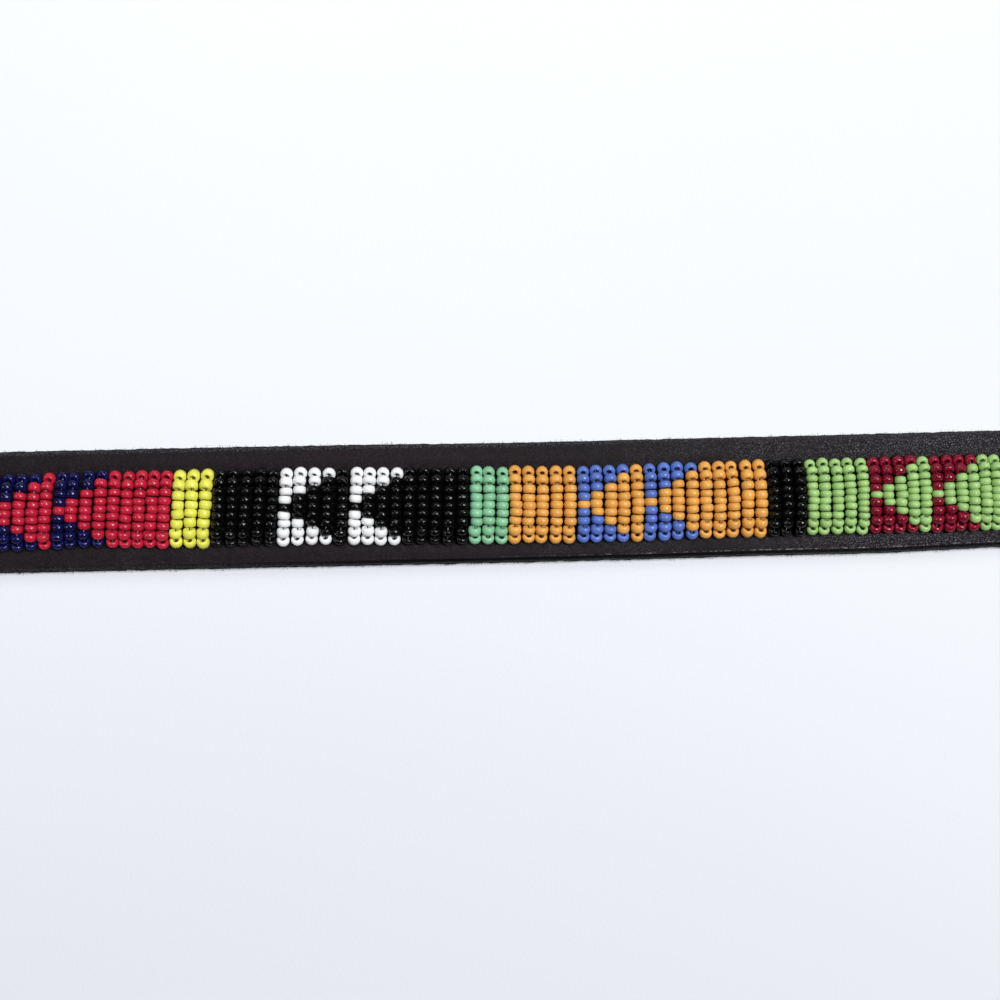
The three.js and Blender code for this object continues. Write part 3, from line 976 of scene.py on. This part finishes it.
def make_front(middles):
    arc = pi * FOLD_RADIUS
    base = FOLD_UNDER + arc  # s of the point over the bar
    turns = [radians(a) for a in (18, 36, 54, 72, 90)]
    strap = Strap(STRAP_HALF, TIP, FACE_ROWS, turns, base + STRAP_END - TIP)
    slot_start, slot_end = FOLD_UNDER - SLOT_REACH, base + SLOT_REACH
    panel_start = base + PLAIN_AT_BUCKLE - 2
    panel_end = base + FIELD_END - BAR_X + 2
    parts = [
        (0, 0.3, 0.3),
        (0.3, slot_start - WINDOW, 1.5),
        (slot_start - WINDOW, FOLD_UNDER, 1.2),
        (FOLD_UNDER, base, 0.5),
        (base, slot_end + WINDOW, 1.2),
        (slot_end + WINDOW, panel_start, 1.5),
        (panel_start, panel_end, COLUMN_PITCH / 4),
    ]
    holes = [base + FIRST_HOLE + k * HOLE_SPACING for k in range(HOLE_COUNT)]
    parts += hole_parts(panel_end, holes, 1.8) + [(holes[-1] + WINDOW, strap.tip_start, 1.8)]
    stations = spans(*parts) + tip_stations(strap, TIP)
    path = front_path()
    openings = [(slot_start, slot_end, SLOT_HALF)] + [(hole, hole, HOLE_RADIUS) for hole in holes]
    strap.build(stations, lambda s: float(np.interp(s, path[0], path[5])), openings)

    s, y, h = np.array(strap.points).T
    x, z, out_x, out_z, thick = [np.interp(s, path[0], row) for row in path[1:]]
    length = np.hypot(out_x, out_z)
    flat = x + BAR_X
    face = (s > base + FOLD_RAMP) & (h > thick - 0.05)
    rough = 0.09 * wave(s * 0.21, y * 0.3, 2) + 0.05 * wave(s * 0.8, y * 0.8, 7)
    h = h + np.where(face, relief(flat, y, middles), 0) + np.where(h > thick * 0.5, rough, 0)
    edge = np.clip(1 - np.array(strap.inset) / MM / 1.5, 0, 1)
    ragged = 0.13 * wave(s * 0.09, 3 * np.sign(y), 4) + 0.17 * wave(s * 0.95, np.sign(y), 9)
    y = y + np.sign(y) * edge * ragged + np.where(s > base, wander(flat, y), 0)
    points = np.stack([flat + h * out_x / length, y, np.maximum(z + h * out_z / length, 0)], axis=1)
    attributes = {"inset": strap.inset, "raw": strap.raw}
    mesh = mesh_from("front leather", points, strap.faces, LEATHER, attributes)
    place("front_strap", mesh, "leather", "front_leather")


def make_backing():
    start = FOLD_UNDER + FOLD_GAP
    turns = [radians(a) for a in (30, 90)]
    strap = Strap(BACKING_HALF, BACKING_TIP, BACKING_ROWS, turns, STRAP_END - TIP)
    holes = [FIRST_HOLE + k * HOLE_SPACING for k in range(HOLE_COUNT)]
    parts = [(start, start + 0.3, 0.3)] + hole_parts(start + 0.3, holes, 1.0)
    parts.append((holes[-1] + WINDOW, strap.tip_start, 1.0))
    stations = spans(*parts) + tip_stations(strap, BACKING_TIP)
    strap.build(stations, lambda s: BACKING, [(hole, hole, HOLE_RADIUS) for hole in holes])
    s, y, h = np.array(strap.points).T
    flat = s + BAR_X
    edge = np.array(strap.inset) / MM < 0.2
    ragged = 0.12 * wave(s * 0.3, 3 * np.sign(y), 4) + 0.14 * wave(s * 1.7, np.sign(y), h * 2)
    y = y + np.where(edge, np.sign(y) * ragged, 0) + wander(flat, y)
    points = np.stack([flat, y, h], axis=1)
    mesh = mesh_from("backing leather", points, strap.faces, BACKING_LEATHER, {"raw": strap.raw})
    place("backing_strap", mesh, "leather_backing", "backing_leather")


def make_fibres():
    """Loose hairs along the strap's raw edges."""
    chance = random.Random(7)
    points, along, size = [], [], []
    for side in (-1, 1):
        x = BAR_X + 2.0
        while x < BAR_X + STRAP_END - TIP:
            x += chance.expovariate(HAIRS)
            z = chance.choice([chance.uniform(*BACKING_HAIRS), chance.uniform(*FRONT_HAIRS)])
            low = z < BACKING
            half = BACKING_HALF if low and x > BAR_X + FOLD_UNDER else STRAP_HALF
            y = side * (half - 0.15)
            points.append((x * MM, (y + float(wander(np.array(x), np.array(y)))) * MM, z * MM))
            rise = chance.gauss(0.15, 0.5)
            # The lowest hairs don't bend into the floor.
            along.append(Vector((chance.gauss(0, 0.9), side, rise if z > 1.1 else abs(rise))).normalized())
            size.append((1, 1, 0.28 + chance.random() ** 3.5))
    sizes = {"Length": HAIR * MM, "Radius": HAIR_RADIUS * MM, "Seed": 5}
    attributes = {"along": along, "size": size}
    mesh = grow("edge fibres", points, [], attributes, fibre_tree(), BACKING_LEATHER, sizes)
    place("edge_fibres", mesh, "leather_backing")


def make_stitches(tree):
    """Two rows of stitches across the strap hold the fold shut."""
    points, edges = [], []
    for row in STITCH_ROWS:
        for k in range(STITCH_COUNT):
            middle = STITCH_PITCH * (k - (STITCH_COUNT - 1) / 2)
            for top in (True, False):
                line = []
                for step in range(STITCH_STEPS + 1):
                    turn = pi * step / STITCH_STEPS
                    rise = STITCH_RISE * sin(turn) ** 0.7
                    z = FACE + rise - STITCH_SINK if top else UNDER_STITCH - 0.1 * rise
                    line.append(Vector((BAR_X + row, middle - STITCH_HALF * cos(turn), z)))
                add_line(points, edges, line)
    radii = [STITCH_RADIUS * MM] * len(points)
    mesh = grow("stitches", points, edges, {"radius": radii}, tree, BLACK_THREAD, {"Sides": STITCH_SIDES})
    place("fold_stitches", mesh, "stitching")


# ---- buckle


def make_buckle(tree):
    """The frame, its bar, and the prong with its knuckle round the bar, from round wire."""
    points, edges, radii = [], [], []

    def wire(line):
        add_line(points, edges, [Vector(p[:3]) for p in line])
        radii.extend(p[3] * MM for p in line)

    def ended(line, radius):
        """Round ends on a straight wire."""
        first, last = Vector(line[0]), Vector(line[-1])
        way = (last - first).normalized()
        caps = [(sin(a), cos(a)) for a in (radians(d) for d in (5, 25, 50, 75))]
        start = [(*(first - way * radius * c), radius * s) for s, c in caps]
        end = [(*(last + way * radius * c), radius * s) for s, c in reversed(caps)]
        return start + [(*first, radius), (*last, radius)] + end

    frame_line = [(0, -FRAME_HALF, 0, WIRE)]
    for side in (-1, 1):
        for k in range(CORNER_STEPS + 1):
            turn = pi / 2 * (k / CORNER_STEPS if side < 0 else 1 - k / CORNER_STEPS)
            x = FRAME_CORNER - FRAME_REACH - FRAME_CORNER * sin(turn)
            y = side * (FRAME_HALF - FRAME_CORNER + FRAME_CORNER * cos(turn))
            frame_line.append((x, y, 0, WIRE))
    frame_line.append((0, FRAME_HALF, 0, WIRE))
    wire(frame_line)
    wire(ended([(0, -FRAME_HALF, 0), (0, FRAME_HALF, 0)], BAR))
    knuckle = [(0, inwards - KNUCKLE_HALF, 0, KNUCKLE - off) for inwards, off in KNUCKLE_ROUNDING]
    wire(knuckle + [(x, -y, z, radius) for x, y, z, radius in reversed(knuckle)])
    for side in (-1, 1):
        turns = [radians(d) for d in range(175, 0, -17)]
        wire([(0, side * FRAME_HALF + BOSS * cos(a), 0, BOSS * sin(a)) for a in turns])
    seat = WIRE + PRONG_TIP - 0.2
    places, arch, tapers = zip(*PRONG_ARCH)
    shares = np.linspace(places[0], 1, 22)
    heights = np.interp(shares, places, arch)
    heights = np.convolve(np.pad(heights, 2, mode="edge"), np.ones(5) / 5, mode="valid")
    widths = PRONG + (PRONG_TIP - PRONG) * np.interp(shares, places, tapers)
    prong = [(-s * FRAME_REACH, 0, h * seat, w) for s, h, w in zip(shares, heights, widths)]
    for over, radius in PRONG_ROUNDING:
        prong.append((-FRAME_REACH - PRONG_OVERHANG - over, 0, seat - 0.15 - 0.2 * over, radius))
    wire(prong)
    rake = asin((BAR_HEIGHT - WIRE - FRAME_CLEARANCE) / FRAME_REACH)
    turned = Matrix.Translation(Vector((BAR_X, 0, BAR_HEIGHT)) * MM) @ Matrix.Rotation(-rake, 4, "Y")
    points = [turned @ p for p in points]
    mesh = grow("buckle wire", points, edges, {"radius": radii}, tree, NICKEL, {"Sides": 24})
    place("buckle_wire", mesh, "buckle_metal", "buckle")


# ---- surroundings


def soft_light(name, away_x, away_y, distance, size, radiance, colour=(1, 1, 1)):
    """A round soft light. away_x and away_y are its angles from straight overhead, in degrees."""
    data = bpy.data.lights.new(name, "AREA")
    data.shape = "DISK"
    data.size = size
    data.energy = radiance * pi * pi * size * size / 4
    data.color = colour
    light = add_object(name, data)
    target = Vector((MIDDLE_X * MM, 0, 0))
    way = Vector((tan(radians(away_x)), tan(radians(away_y)), 1)).normalized()
    light.location = target + way * distance
    light.rotation_mode = "QUATERNION"
    light.rotation_quaternion = way.to_track_quat("Z", "Y")


def make_surroundings():
    scene = bpy.context.scene
    floor = bpy.data.meshes.new("floor")
    turns = [2 * pi * k / FLOOR_SIDES for k in range(FLOOR_SIDES)]
    rim = [(FLOOR_REACH * cos(a), FLOOR_REACH * sin(a), -FLOOR_GAP * MM) for a in turns]
    floor.from_pydata(rim, [], [tuple(range(FLOOR_SIDES))])
    floor.materials.append(cloth_finish())
    cloth = add_object("floor", floor)

    soft_light("window", 28, 9, 4.0, 1.675, 23.2, (0.97, 0.985, 1.0))
    soft_light("far window", -47, 6, 3.25, 1.05, 7.5, (1.0, 0.98, 0.96))
    soft_light("near fill", -6, 42, 0.55, 0.32, 2.6)
    world = bpy.data.worlds.new("room")
    world.use_nodes = True
    sky = world.node_tree.nodes["Background"]
    sky.inputs["Color"].default_value = (0.9, 0.94, 1.0, 1)
    room = Nodes(world.node_tree)
    seen = room.node("ShaderNodeLightPath")  # 1 where the room itself is looked at
    room.tree.links.new((seen * 0.7 + 0.035).socket, sky.inputs["Strength"])
    scene.world = world
    scene.view_settings.view_transform = "Standard"


def make_camera():
    data = bpy.data.cameras.new("camera")
    data.lens = 50
    data.sensor_width = 36
    data.clip_start = 0.01
    camera = add_object("camera", data)
    target = Vector((MIDDLE_X * MM, *CAMERA_AIM))
    tilt, roll = radians(CAMERA_TILT), radians(CAMERA_ROLL)
    camera.rotation_euler = (Matrix.Rotation(roll, 3, "Z") @ Matrix.Rotation(-tilt, 3, "Y")).to_euler()
    camera.location = target + camera.rotation_euler.to_matrix() @ Vector((0, 0, CAMERA_AWAY))
    bpy.context.scene.camera = camera


make_camera()
make_surroundings()
blocks = read_blocks()
wire_tree = make_thread(make_beads(blocks))
make_front(np.array([x for _, _, places, _ in blocks for x in places]))
make_backing()
make_fibres()
make_stitches(wire_tree)
make_buckle(wire_tree)
